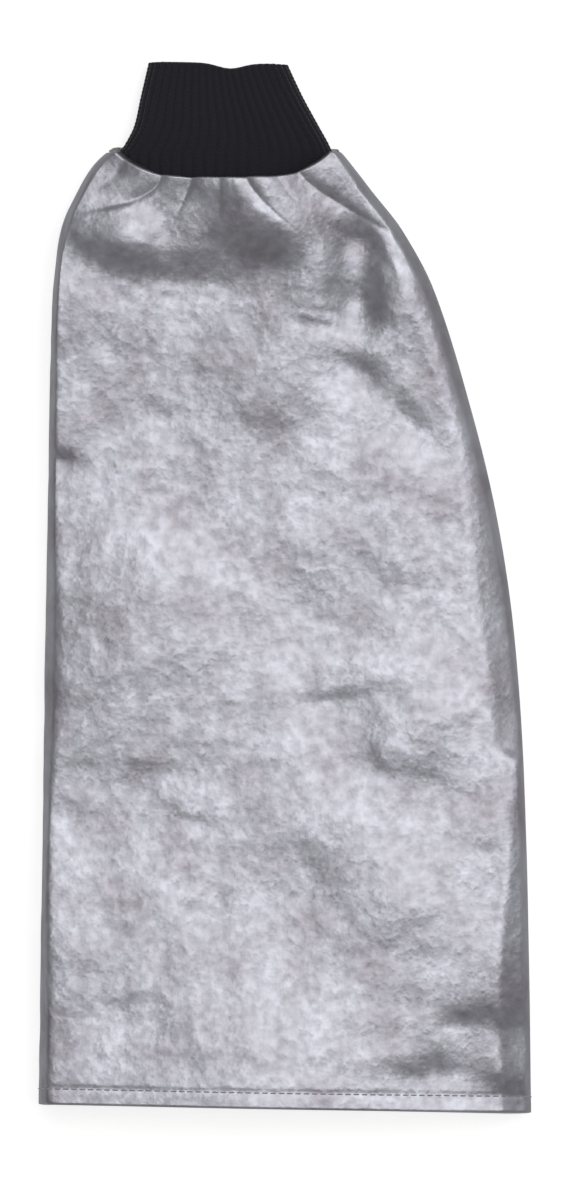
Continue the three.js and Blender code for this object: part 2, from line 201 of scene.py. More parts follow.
# The strip loses this share of the crumple, from just before its crest to just after it.
STRIP_CALM = {"share": 0.6, "from": -5, "to": 3}
Strip = namedtuple("Strip", "along width fall curl", defaults=(0,))
SEAM_STRIP = (
    Strip(along=0, width=13, fall=0.5),
    Strip(along=41, width=14, fall=0.48),
    Strip(along=84, width=11.5, fall=0.4),
    Strip(along=110, width=8, fall=0.38),
    Strip(along=128, width=7, fall=0.36),
    Strip(along=152, width=5.5, fall=0.2, curl=0.2),
    Strip(along=160, width=12, fall=0.3, curl=0.1),
    Strip(along=190, width=13, fall=0.32, curl=0.12),
    Strip(along=214, width=15, fall=0.31, curl=0.16),
    Strip(along=249, width=14, fall=0.2, curl=0.7),
    Strip(along=292, width=11.5, fall=0.12, curl=1.2),
    Strip(along=327, width=11.5, fall=0.11, curl=1.2),
    Strip(along=351, width=12.5, fall=0.1, curl=1.2),
    Strip(along=380, width=12, fall=0.1, curl=1.2),
)

# On the left the upper layer bends down to the fold, over some width, as this power of the way.
BEND_POWER = 4
Bend = namedtuple("Bend", "along width drop")
FOLD_BENDS = (
    Bend(along=0, width=11.5, drop=3.4),
    Bend(along=40, width=9.5, drop=3),
    Bend(along=84, width=8, drop=2.6),
    Bend(along=128, width=6.5, drop=3),
    Bend(along=171, width=11, drop=3.4),
    Bend(along=214, width=13.5, drop=3.6),
    Bend(along=258, width=6, drop=3),
    Bend(along=310, width=6, drop=3),
    Bend(along=345, width=5, drop=2),
    Bend(along=380, width=5, drop=2),
)

# The cloth's crumple, a row for each width of its dents. sharp is the share that has creased ridges.
Crumple = namedtuple("Crumple", "size height sharp")
CRUMPLES = (
    Crumple(size=58, height=0.8, sharp=0.2),
    Crumple(size=27, height=0.6, sharp=0.25),
    Crumple(size=13, height=0.27, sharp=0.15),
    Crumple(size=6.5, height=0.08, sharp=0.05),
)
CRUMPLE_SEED = 11
NOISE_GAIN = 1.4  # brings the noise up to about 1 either way
RIDGE = {"top": 0.6, "fall": 2}  # height of a creased ridge, and how fast it falls with the noise
SEAM_REACH = 0.5  # on the right-hand roll the crumple fades out over this turn, in radians, at the seam
HEM_CRUMPLE = 0.3  # share of the crumple that the hem has
NECK_CRUMPLE = {"share": 0.45, "reach": 25}  # share that the gathered edge has, and the way to all of it
LOWER_CRUMPLE = 0.4  # the lower layer is only dented inwards, by this share of the crumple

# The body's rings, a row for each stretch from the hem to the gathered edge, and its posts round the tube
Stretch = namedtuple("Stretch", "to steps")
BODY_STRETCHES = (
    Stretch(to=10, steps=12),
    Stretch(to=340, steps=216),
    Stretch(to=412, steps=72),
    Stretch(to=416, steps=8),
    Stretch(to=417.4, steps=5),
    Stretch(to=418, steps=5),
)
BODY_POSTS = {"per_roll": 16, "per_upper": 192, "per_lower": 34}
BODY_INNER = 3  # one inner post or ring for this many outer ones

# The cuff's rings, how many posts make a rib, and how many ribs go round
CUFF_STEPS = 136
POSTS_PER_RIB = 8
CUFF_RIBS = {"per_roll": 7, "per_upper": 17, "per_lower": 17}
CUFF_INNER = 4
RIB_FULLNESS = 0.8  # under 1 the ribs are full, with narrow valleys between them
LOOP_SLANT = 1.6  # loops by which each leg of a loop slants, for a whole rib's width

RIM_STEPS = 6  # rings round the end of a wall
# How far a rim stands out, as a share of half its wall: the cloth is pressed flat, the knit is round.
CLOTH_BULGE = 0.3
KNIT_BULGE = 1

# A stitch arches out of the cloth and sinks in at its ends, by these shares of the thread's radius. A
# higher fullness rounds it off later, and its tip keeps a little width.
STITCH = {"steps": 6, "sides": 8, "arch": 0.7, "sink": 0.2, "fullness": 6, "tip": 0.02}

# Sizes and shades in the finishes. What is too fine to show is drawn coarser than it is.
SLUB_SIZE = 5  # thicker stretches of the cloth's threads
RUB_SIZE = 28  # patches that handling has dulled
BACKING_SIZE = 6  # uneven stretches of the backing's threads
BACKING_SHADE = 0.7  # the darker of these against the backing's colour
TWIST_PITCH = 0.5  # of the sewing thread
WAVE_PITCH = 0.3  # a wave texture of scale 1 repeats after about this length
FIBRE_SIZE = 1.1  # tufts of the knit's yarn
FIBRE_SHADES = {"dark": 0.55, "light": 1.45}  # these against the yarn's colour

# The colour sockets of a Mix node, which share their names with other sockets of it
MIX_A = 6
MIX_B = 7
MIX_RESULT = 2

# The picture that the camera fills: its height in pixels, a pixel's size on the sleeve, and its middle
PICTURE = {"height": 1200, "mm_per_pixel": 0.434}
PICTURE_CENTRE = {"x": 1.95, "y": -5.4}
EYE_HEIGHT = 5000  # so far up that the whole sleeve is seen from straight above
OUTLINE_HEIGHT = 15  # the outline that the camera sees lies about this high on the rolled edges
SENSOR_HEIGHT = 24

# The soft lights: which of the stage's values is their power, and their sizes, places and aims in metres
Light = namedtuple("Light", "name power size at towards")
LIGHTS = (
    Light("key_light", "key_watts", size=(5.2, 6), at=(1.6, 1.85, 6), towards=(1.6, 1.85, 0)),
    Light("overhead_light", "overhead_watts", size=(5, 5), at=(0.3, 0.2, 3.4), towards=(0.3, 0.2, 0)),
    Light("side_light", "side_watts", size=(1.8, 1.8), at=(2.6, 0.9, 1.6), towards=(0, 0, 0)),
    Light("low_light", "low_watts", size=(3.2, 0.8), at=(-1.7, -1.9, 0.6), towards=(0, -0.1, 0)),
)
WALL_TOP = 0.2  # from here up the room's walls fade into its ceiling, as the sine of the angle
CEILING_EDGE = 0.7  # and from here on there is only ceiling
FLOOR_DROP = 0.2  # the floor lies this far below the sleeve, so that their faces don't meet


def linear_colour(hex_code):
    """An sRGB hex colour as linear red, green and blue."""
    shares = [int(hex_code[i:i + 2], 16) / 255 for i in (1, 3, 5)]
    return tuple(s / 12.92 if s <= 0.04045 else ((s + 0.055) / 1.055) ** 2.4 for s in shares)


def length_property(name, description, millimetres):
    return FloatProperty(name=name, description=description, default=millimetres * MM, unit="LENGTH")


def power_property(name, description, watts):
    return FloatProperty(name=name, description=description, default=watts, unit="POWER")


def colour_property(name, description, hex_code):
    colour = linear_colour(hex_code)
    return FloatVectorProperty(name=name, description=description, default=colour, subtype="COLOR")


class SleeveCloth(bpy.types.PropertyGroup):
    """The coated cloth of the body and its hem."""

    wall: length_property("Wall", "Thickness of the coated cloth", 1.5)
    crumple: FloatProperty(
        name="Crumple", description="Height of the cloth's crumple against the modelled one", default=1.0
    )
    thread_spacing: length_property(
        "Thread spacing", "Distance between threads of the weave, drawn coarser than the real one", 1.5
    )
    face: colour_property("Coated face", "Colour of the aluminium coat", "#c5c6cf")
    dulled: colour_property("Dulled face", "Colour of the coat where handling has dulled it", "#aaa6ae")
    backing: colour_property("Backing", "Colour of the uncoated inner side", "#b9b5ac")


class SleeveStitching(bpy.types.PropertyGroup):
    """The lockstitch that holds the hem."""

    length: length_property("Stitch", "Length of one stitch", 2.9)
    gap: length_property("Gap", "Distance between two stitches", 0.7)
    thread_width: length_property("Thread width", "Width of the sewing thread", 0.6)
    colour: colour_property("Thread", "Colour of the sewing thread", "#a39fa8")


class SleeveKnit(bpy.types.PropertyGroup):
    """The rib knit of the cuff."""

    wall: length_property("Wall", "Thickness of the doubled knit", 2.4)
    rib_depth: length_property("Rib depth", "Depth of the valley between two ribs", 0.9)
    loop_height: length_property(
        "Loop height", "Height of one row of loops, drawn coarser than the real one", 1.7
    )
    loop_depth: length_property("Loop depth", "Depth between two rows of loops", 0.22)
    colour: colour_property("Yarn", "Colour of the dyed yarn", "#23222a")


class SleeveStage(bpy.types.PropertyGroup):
    """The floor, the light and the view."""

    floor: colour_property("Floor", "Colour of the floor", "#f4f4f4")
    floor_size: FloatProperty(name="Floor size", description="Side of the floor", default=6, unit="LENGTH")
    floor_glow: FloatProperty(
        name="Floor glow", description="Light of its own that keeps the floor white", default=0.7
    )
    key_watts: power_property("Key light", "Power of the soft light above the upper right", 144)
    overhead_watts: power_property("Overhead light", "Power of the wide light straight above", 5)
    side_watts: power_property("Side light", "Power of the soft light on the right", 3)
    low_watts: power_property("Low light", "Power of the low light at the lower left", 4)
    room: FloatProperty(name="Room light", description="Strength of the room's pale walls", default=0.38)
    ceiling: FloatProperty(name="Ceiling light", description="Strength of its darker ceiling", default=0.2)


PROPERTY_GROUPS = {
    "sleeve_cloth": SleeveCloth,
    "sleeve_stitching": SleeveStitching,
    "sleeve_knit": SleeveKnit,
    "sleeve_stage": SleeveStage,
}


def bell(offset, half_width):
    """1 in the middle, falling off to 0 on both sides."""
    return np.exp(-((offset / half_width) ** 2))


def smooth_step(value, low, high):
    """0 up to low and 1 from high on, with an even ease between them."""
    share = np.clip((value - low) / (high - low), 0, 1)
    return share * share * (3 - 2 * share)


def read_sections(rows, along):
    """Every column of a table of sections at places along the sleeve, on smooth curves through its rows."""
    knots = np.array([row.along for row in rows], float)
    last = len(rows) - 1
    after = np.clip(np.searchsorted(knots, along), 1, last)
    before = after - 1
    step = knots[after] - knots[before]
    t = np.clip((along - knots[before]) / step, 0, 1)
    ease = smooth_step(t, 0, 1)
    upper = np.minimum(np.arange(last + 1) + 1, last)
    lower = np.maximum(np.arange(last + 1) - 1, 0)
    kind = type(rows[0])
    columns = {}
    for name in kind._fields:
        values = np.array([getattr(row, name) for row in rows], float)
        slopes = (values[upper] - values[lower]) / (knots[upper] - knots[lower])
        tangents = slopes[before] * t * (1 - t) ** 2 - slopes[after] * t * t * (1 - t)
        columns[name] = values[before] + (values[after] - values[before]) * ease + tangents * step
    return kind(**columns)


Posts = namedtuple("Posts", "across turn")


def posts_round(per_roll, per_upper, per_lower):
    """Posts round a flattened tube: up the right-hand roll, across the upper layer, down the left-hand
    roll and back along the lower layer. turn is the roll's angle, a quarter turn up on the upper layer."""
    quarter = math.pi / 2
    rise = -quarter + math.pi * np.arange(per_roll) / per_roll
    across = [
        np.ones(per_roll),
        1 - np.arange(per_upper) / per_upper,
        np.zeros(per_roll),
        np.arange(per_lower) / per_lower,
    ]
    turn = [rise, np.full(per_upper, quarter), -rise, np.full(per_lower, -quarter)]
    return Posts(np.concatenate(across), np.concatenate(turn))


def upper_share(posts):
    """0 on the lower layer and 1 on the upper one, passing from one to the other on the rolls."""
    return (1 + np.sin(posts.turn)) / 2


def tube_place(section, posts, under_roll=0):
    """Each post's place across and above the table. The lower half of a side is under_roll wide or more."""
    under = np.where(posts.turn < 0, under_roll, 0)
    left_roll = np.maximum(section.left_roll, under)
    right_roll = np.maximum(section.right_roll, under)
    flat_left = left_roll - section.left
    flat_right = section.right - right_roll
    roll = np.where(posts.across > 0.5, right_roll, -left_roll)
    x = flat_left + (flat_right - flat_left) * posts.across + roll * np.cos(posts.turn)
    return x, section.lift + section.height * upper_share(posts)


def gather_depth(x, drop, pinched):
    """Depth of all the gathers at a place that lies down the body by drop from the gathered edge."""
    depth = 0
    for row in GATHERS:
        slant = np.hypot(1, row.fan + 2 * row.bend * drop)
        offset = (x - row.at - row.fan * drop - row.bend * drop * drop) / slant
        spread = 1 + GATHER_SPREAD * drop / row.reach
        fade = bell(drop, row.reach)
        if pinched:
            ease = np.where(offset > 0, 1, GATHER_CREASE["ease"])
            width = GATHER_CREASE["width"] * row.half_width * np.sqrt(fade) * ease
            crease = np.clip(1 - np.abs(offset) / width, 0, 1) ** GATHER_CREASE["power"]
            sag = bell(offset, GATHER_SAG["width"] * row.half_width * spread)
            valley = GATHER_CREASE["share"] * crease + GATHER_SAG["share"] * sag
        else:
            valley = bell(offset, row.half_width * spread)
        depth = depth + row.depth * fade * valley
    return depth


def fold_depth(x, along):
    """Depth of all the dents, less the height of all the puffs, at a place on the upper layer."""
    depth = 0
    for row in FOLDS:
        turn = math.radians(row.turn)
        dx, dy = x - row.x, along - row.along
        lengthways = dx * math.cos(turn) + dy * math.sin(turn)
        sideways = dy * math.cos(turn) - dx * math.sin(turn)
        width = row.width * np.where(sideways > 0, 1, row.ease)
        depth = depth + row.depth * bell(lengthways, row.reach) * bell(sideways, width)
    return depth


def edge_drop(x, section):
    """How far the upper layer comes down towards the seam and towards the fold."""
    strip, fold = (read_sections(rows, section.along) for rows in (SEAM_STRIP, FOLD_BENDS))
    from_crest = strip.width - (section.right - x)
    into_strip = CREST["round"] * np.logaddexp(0, from_crest / CREST["round"])
    seam = into_strip * (strip.fall + strip.curl * (into_strip / strip.width) ** 2 / 3)
    crest = CREST["height"] * bell(from_crest, CREST["half_width"])
    bend = fold.drop * np.clip(1 - (section.left + x) / fold.width, 0, 1) ** BEND_POWER
    return seam - crest + bend


def side_wander(ring, posts):
    """How far the widest line of each side wanders up or down."""
    long_wave = np.sin(2 * math.pi * (ring / SIDE_WANDER["long"] + posts.across))
    short_wave = np.sin(2 * math.pi * (ring / SIDE_WANDER["short"] + posts.across / 2))
    return SIDE_WANDER["height"] * (long_wave + short_wave / 2) * np.cos(posts.turn) ** 2


def body_points(places, posts, pinched=False):
    """The cloth's outer face with plain or pinched gathers, a ring of points for each place along it."""
    ring = places[:, None]
    section = read_sections(BODY_SECTIONS, ring)
    x, z = tube_place(section, posts, UNDER_ROLL)
    upper = upper_share(posts)
    mouth_fade = 1 - smooth_step(ring, 0, MOUTH_REACH)
    neck_fade = smooth_step(ring, NECK - NECK_REACH, NECK)
    drop = NECK - ring
    gather = gather_depth(x, drop, pinched)
    over = np.clip(1 - drop / NECK_TUCK["length"], 0, 1)

    mouth = MOUTH_SLANT * (1 - posts.across) + MOUTH_STEP * upper
    dip_line = 1 - np.abs(2 * posts.across - 1) ** NECK_DIP["power"]
    dip = (NECK_DIP["lower"] + (NECK_DIP["upper"] - NECK_DIP["lower"]) * upper) * dip_line
    scallop = NECK_SCALLOP * gather_depth(x, 0, pinched) * upper
    tuck = (NECK_TUCK["depth"] + NECK_TUCK["pleat"] * gather) * upper * over ** NECK_TUCK["power"]
    along = ring + mouth * mouth_fade - (dip + scallop) * neck_fade - tuck

    groove = HEM_GROOVE["depth"] * bell(ring - HEM_DEPTH, HEM_GROOVE["half_width"])
    crown = CROWN * 4 * posts.across * (1 - posts.across) * (1 - neck_fade)
    edges = edge_drop(x, section) * (1 - neck_fade)
    lowered = fold_depth(x, along) + gather + groove + edges - crown
    raised = LOWER_GATHER * gather * (1 - upper) * np.sin(math.pi * posts.across)
    z = z - lowered * upper + raised + side_wander(ring, posts)
    z = z + (NECK_TUCK["height"] * upper - z) * (1 - np.sqrt(1 - over**2))
    return np.stack([x, along - SLEEVE_LENGTH / 2, z], axis=-1)


def cuff_points(places, posts, inset):
    """The cuff's face, drawn in by inset."""
    ring = places[:, None]
    section = read_sections(CUFF_SECTIONS, ring)
    section = section._replace(
        left=section.left - inset,
        right=section.right - inset,
        lift=section.lift + inset,
        height=section.height - 2 * inset,
    )
    x, z = tube_place(section, posts)
    end_fade = smooth_step(ring, CUFF_END - CUFF_REACH, CUFF_END)
    dip = CUFF_DIP["depth"] * bell(posts.across - CUFF_DIP["at"], CUFF_DIP["half_width"])
    along = ring - (CUFF_SLANT * posts.across + dip) * end_fade
    return np.stack([x, along - SLEEVE_LENGTH / 2, z], axis=-1)


def outward(grid):
    """The outward normal at each point of a grid of rings."""
    lengthways = np.gradient(grid, axis=0)
    round_it = np.roll(grid, -1, axis=1) - np.roll(grid, 1, axis=1)
    normal = np.cross(lengthways, round_it)
    return normal / np.linalg.norm(normal, axis=-1, keepdims=True)


def cloth_noise(u, v, size, draws):
    """Smooth noise from -1 to 1 with dents about size across, from a lattice of seeded slopes."""
    u, v = (u - u.min()) / size, (v - v.min()) / size
    angles = draws.uniform(0, 2 * math.pi, (int(u.max()) + 2, int(v.max()) + 2))
    column, row = u.astype(int), v.astype(int)
    fu, fv = u - column, v - row
    ease_u, ease_v = (f**3 * (f * (f * 6 - 15) + 10) for f in (fu, fv))

    def slope(i, j):
        angle = angles[column + i, row + j]
        return np.cos(angle) * (fu - i) + np.sin(angle) * (fv - j)

    near = slope(0, 0) + ease_u * (slope(1, 0) - slope(0, 0))
    far = slope(0, 1) + ease_u * (slope(1, 1) - slope(0, 1))
    return NOISE_GAIN * (near + ease_v * (far - near))


def crumple_height(u, v):
    """Height of the cloth's crumple: dents of several widths, some of them with creased ridges."""
    draws = np.random.default_rng(CRUMPLE_SEED)
    height = 0
    for row in CRUMPLES:
        dents = cloth_noise(u, v, row.size, draws)
        ridges = RIDGE["top"] - RIDGE["fall"] * np.abs(cloth_noise(u, v, row.size, draws))
        height = height + row.height * (dents + row.sharp * (ridges - dents))
    return height


def cloth_across(places, posts):
    """Each point's place across the unrolled panel, which is folded at the left-hand roll and sewn in the
    middle of the right-hand one. The seam's own post has two places: the second result is its other one."""
    section = read_sections(BODY_SECTIONS, places[:, None])
    flat_left = section.left_roll - section.left
    flat_right = section.right - section.right_roll
    # Each roll is half an ellipse.
    arc = {
        side: math.pi * np.hypot(roll, section.height / 2) / math.sqrt(2)
        for side, roll in (("left", section.left_roll), ("right", section.right_roll))
    }
    rolled = 0.5 - posts.turn / math.pi
    x = flat_left + (flat_right - flat_left) * posts.across
    upper_right = flat_right + arc["right"] * rolled
    lower_left = flat_left - arc["left"]
    lower_right = lower_left - (flat_right - flat_left) - arc["right"] * (1 - rolled)
    on_left = posts.across < 0.5
    on_roll = np.abs(posts.turn) < math.pi / 2
    below = posts.turn < 0
    starts = np.where(
        on_roll,
        np.where(on_left, flat_left - arc["left"] * rolled, np.where(below, lower_right, upper_right)),
        np.where(below, lower_left - (x - flat_left), x),
    )
    seam = ~on_left & np.isclose(posts.turn, 0)
    return starts, np.where(seam, lower_right, starts)


def rounded_rim(edge, before, outwards, wall, bulge):
    """Rings of points that turn a wall's end over, from its outer edge to its inner one. before is the ring
    before the edge, and bulge is how far the turn stands out, as a share of half the wall."""
    turns = math.pi * np.arange(1, RIM_STEPS + 1) / RIM_STEPS
    radius = wall / 2
    along = (edge - before) / np.linalg.norm(edge - before, axis=-1, keepdims=True)
    return np.stack([
        edge + along * bulge * radius * math.sin(t) - outwards * radius * (1 - math.cos(t)) for t in turns
    ])


def closed_wall(outer, wall_at, bulge, every):
    """Vertices of a closed wall, the faces of its outer skin, and its other faces. outer holds the fine
    outer grid, and the inner one has a post or a ring for every few outer ones."""
    normals = outward(outer["smooth"])
    grid = outer["grid"]
    first = rounded_rim(grid[0], grid[1], normals[0], wall_at[0], bulge)
    last = rounded_rim(grid[-1], grid[-2], normals[-1], wall_at[-1], bulge)
    skin = np.concatenate([first[::-1], grid, last])
    inner = (outer["smooth"] - normals * wall_at[:, None, None])[every:-every:every, ::every]
    rings, posts = skin.shape[:2]
    inner_rings, inner_posts = inner.shape[:2]
    skin_ids = np.arange(rings * posts).reshape(rings, posts)
    inner_ids = rings * posts + np.arange(inner_rings * inner_posts).reshape(inner_rings, inner_posts)

    def quads(ids, flip):
        ahead = np.roll(ids, -1, axis=1)
        corners = [ids[:-1], ids[1:], ahead[1:], ahead[:-1]]
        return np.stack(corners[::-1] if flip else corners, axis=-1).reshape(-1, 4)

    def strip(fine, coarse, flip):
        ahead = np.roll(coarse, -1)
        run = [np.roll(fine, -k)[::every] for k in range(every + 1)]
        corners = np.stack([*run, ahead, coarse], axis=-1)
        return corners[:, ::-1] if flip else corners

    skin_faces = quads(skin_ids, False).tolist()
    other_faces = [
        *quads(inner_ids, True).tolist(),
        *strip(skin_ids[0], inner_ids[0], False).tolist(),
        *strip(skin_ids[-1], inner_ids[-1], True).tolist(),
    ]
    vertices = np.concatenate([skin.reshape(-1, 3), inner.reshape(-1, 3)])
    return vertices, skin_faces, other_faces


def add_piece(name, vertices, faces, materials):
    """Adds a mesh given in millimetres, smooth shaded, riding on the sleeve."""
    mesh = bpy.data.meshes.new(name)
    mesh.from_pydata((vertices * MM).tolist(), [], faces)
    mesh.polygons.foreach_set("use_smooth", np.ones(len(mesh.polygons), bool))
    for material in materials:
        mesh.materials.append(material)
    mesh.update()
    piece = bpy.data.objects.new(name, mesh)
    bpy.context.scene.collection.objects.link(piece)
    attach(piece, "root")
    return piece


def add_node(tree, kind, inputs=None, **settings):
    """Adds a node, sets its properties, and fills its inputs with values or links."""
    node = tree.nodes.new(kind)
    for name, value in settings.items():
        setattr(node, name, value)
    for name, value in (inputs or {}).items():
        if isinstance(value, bpy.types.NodeSocket):
            tree.links.new(value, node.inputs[name])
        else:
            node.inputs[name].default_value = value
    return node


def new_material(name):
    """An empty material and its node tree."""
    material = bpy.data.materials.new(name)
    material.use_nodes = True
    material.node_tree.nodes.clear()
    return material, material.node_tree


def shaded(colour, share=1):
    """A share of a colour, with its alpha."""
    return (*(share * value for value in colour), 1)


def aluminium_coated_cloth(cloth):
    """Woven cloth with aluminium foil bonded to its face: the foil shines as metal but is broken up by the
    threads below it, so it gives a soft silver gleam with fine glints and duller rubbed patches."""
    material, tree = new_material("aluminium_coated_woven_cloth")
    panel = add_node(tree, "ShaderNodeUVMap", uv_map="panel").outputs["UV"]
    floats = add_node(
        tree, "ShaderNodeTexVoronoi",
        {"Vector": panel, "Scale": 1 / cloth.thread_spacing, "Randomness": 0.55},
        voronoi_dimensions="2D",
    )
    facets = add_node(
        tree, "ShaderNodeNormalMap", {"Color": floats.outputs["Color"], "Strength": 0.025}, uv_map="panel"
    )
    slubs = add_node(
        tree, "ShaderNodeTexNoise",
        {"Vector": panel, "Scale": 1 / (SLUB_SIZE * MM), "Detail": 2, "Roughness": 0.5},
        noise_dimensions="2D",
    )
    rubs = add_node(
        tree, "ShaderNodeTexNoise",
        {"Vector": panel, "Scale": 1 / (RUB_SIZE * MM), "Detail": 5, "Roughness": 0.65},
        noise_dimensions="2D",
    )
    dulling = add_node(
        tree, "ShaderNodeMapRange", {"Value": rubs.outputs["Fac"], "From Min": 0.35, "From Max": 0.7}
    )
    colour = add_node(
        tree, "ShaderNodeMix",
        {"Factor": dulling.outputs["Result"], MIX_A: shaded(cloth.face), MIX_B: shaded(cloth.dulled)},
        data_type="RGBA",
    )
    roughness = add_node(
        tree, "ShaderNodeMapRange",
        {"Value": slubs.outputs["Fac"], "From Min": 0.3, "From Max": 0.7, "To Min": 0.44, "To Max": 0.32},
    )
    bump = add_node(
        tree, "ShaderNodeBump",
        {"Distance": 0.22 * MM, "Height": slubs.outputs["Fac"], "Normal": facets.outputs["Normal"]},
    )
    shader = add_node(
        tree, "ShaderNodeBsdfPrincipled",
        {"Base Color": colour.outputs[MIX_RESULT], "Metallic": 1, "Roughness": roughness.outputs["Result"],
         "Normal": bump.outputs["Normal"]},
    )
    add_node(tree, "ShaderNodeOutputMaterial", {"Surface": shader.outputs["BSDF"]})
    return material


def woven_backing(cloth):
    """The uncoated side of the cloth: plain woven yarn, matte and a little uneven."""
    material, tree = new_material("plain_woven_backing")
    panel = add_node(tree, "ShaderNodeUVMap", uv_map="panel").outputs["UV"]
    checks = add_node(tree, "ShaderNodeTexChecker", {"Vector": panel, "Scale": 1 / cloth.thread_spacing})
    yarn = add_node(
        tree, "ShaderNodeTexNoise", {"Vector": panel, "Scale": 1 / (BACKING_SIZE * MM), "Detail": 4},
        noise_dimensions="2D",
    )
    shade = add_node(
        tree, "ShaderNodeMix",
        {"Factor": yarn.outputs["Fac"], MIX_A: shaded(cloth.backing),
         MIX_B: shaded(cloth.backing, BACKING_SHADE)},
        data_type="RGBA",
    )
    bump = add_node(
        tree, "ShaderNodeBump", {"Strength": 0.5, "Distance": 0.2 * MM, "Height": checks.outputs["Fac"]}
    )
    shader = add_node(
        tree, "ShaderNodeBsdfPrincipled",
        {"Base Color": shade.outputs[MIX_RESULT], "Roughness": 0.9, "Normal": bump.outputs["Normal"]},
    )
    add_node(tree, "ShaderNodeOutputMaterial", {"Surface": shader.outputs["BSDF"]})
    return material


def spun_thread(stitching):
    """Spun polyester sewing thread: a matte grey with the fine slant of its twist."""
    material, tree = new_material("spun_polyester_thread")
    place = add_node(tree, "ShaderNodeTexCoord")
    twist = add_node(
        tree, "ShaderNodeTexWave",
        {"Vector": place.outputs["Object"], "Scale": WAVE_PITCH / (TWIST_PITCH * MM), "Distortion": 0.5},
        bands_direction="DIAGONAL",
    )
    bump = add_node(
        tree, "ShaderNodeBump", {"Strength": 0.4, "Distance": 0.1 * MM, "Height": twist.outputs["Fac"]}
    )
    shader = add_node(
        tree, "ShaderNodeBsdfPrincipled",
        {"Base Color": shaded(stitching.colour), "Roughness": 0.75, "Normal": bump.outputs["Normal"]},
    )
    add_node(tree, "ShaderNodeOutputMaterial", {"Surface": shader.outputs["BSDF"]})
    return material


def black_rib_knit(knit):
    """Dyed rib knit: near black and matte, with a faint lighter fuzz and uneven yarn."""
    material, tree = new_material("black_rib_knit_yarn")
    place = add_node(tree, "ShaderNodeTexCoord")
    fibres = add_node(
        tree, "ShaderNodeTexNoise",
        {"Vector": place.outputs["Object"], "Scale": 1 / (FIBRE_SIZE * MM), "Detail": 4, "Roughness": 0.7},
    )
    shade = add_node(
        tree, "ShaderNodeMix",
        {"Factor": fibres.outputs["Fac"], MIX_A: shaded(knit.colour, FIBRE_SHADES["dark"]),
         MIX_B: shaded(knit.colour, FIBRE_SHADES["light"])},
        data_type="RGBA",
    )
    bump = add_node(
        tree, "ShaderNodeBump", {"Strength": 0.5, "Distance": 0.25 * MM, "Height": fibres.outputs["Fac"]}
    )
    shader = add_node(
        tree, "ShaderNodeBsdfPrincipled",
        {"Base Color": shade.outputs[MIX_RESULT], "Roughness": 0.92, "Sheen Weight": 0.15,
         "Sheen Roughness": 0.5, "Normal": bump.outputs["Normal"]},
    )
    add_node(tree, "ShaderNodeOutputMaterial", {"Surface": shader.outputs["BSDF"]})
    return material


def body_places():
    """Places of the body's rings, from the hem to the gathered edge."""
    places = [np.zeros(1)]
    for to, steps in BODY_STRETCHES:
        start = places[-1][-1]
        places.append(start + (to - start) * np.arange(1, steps + 1) / steps)
    return np.concatenate(places)


def crumple_share(places, posts, x):
    """Share of the crumple that is left beside the seam and its crest, at the hem and at the gathers."""
    ring = places[:, None]
    beside_seam = np.where(posts.across > 0.5, smooth_step(np.abs(posts.turn), 0, SEAM_REACH), 1)
    from_edge = read_sections(BODY_SECTIONS, ring).right - x
    from_crest = read_sections(SEAM_STRIP, ring).width - from_edge
    in_strip = smooth_step(from_crest, STRIP_CALM["from"], STRIP_CALM["to"]) * upper_share(posts)
    hem = HEM_CRUMPLE + (1 - HEM_CRUMPLE) * smooth_step(ring, HEM_DEPTH, 3 * HEM_DEPTH)
    from_neck = smooth_step(NECK - ring, 0, NECK_CRUMPLE["reach"])
    neck = NECK_CRUMPLE["share"] + (1 - NECK_CRUMPLE["share"]) * from_neck
    return beside_seam * (1 - STRIP_CALM["share"] * in_strip) * hem * neck


def crumpled_body(cloth):
    """The body's outer grid, plain and crumpled, with its places and posts."""
    places, posts = body_places(), posts_round(**BODY_POSTS)
    smooth = body_points(places, posts)
    pinched = body_points(places, posts, pinched=True)
    across, _ = cloth_across(places, posts)
    height = cloth.crumple * crumple_height(across, pinched[..., 1])
    upper = upper_share(posts)
    shoulder = np.where(posts.across < 0.5, np.clip(np.sin(2 * posts.turn), 0, 1), 0)
    slack = SIDE_SLACK * np.clip(np.sin(-2 * posts.turn), 0, 1) + SHOULDER_SLACK * shoulder
    height = height * upper - np.abs(height) * (LOWER_CRUMPLE * (1 - upper) + slack)
    height = height * crumple_share(places, posts, pinched[..., 0])
    grid = pinched + outward(smooth) * height[..., None]
    return {"grid": grid, "smooth": smooth, "places": places, "posts": posts}


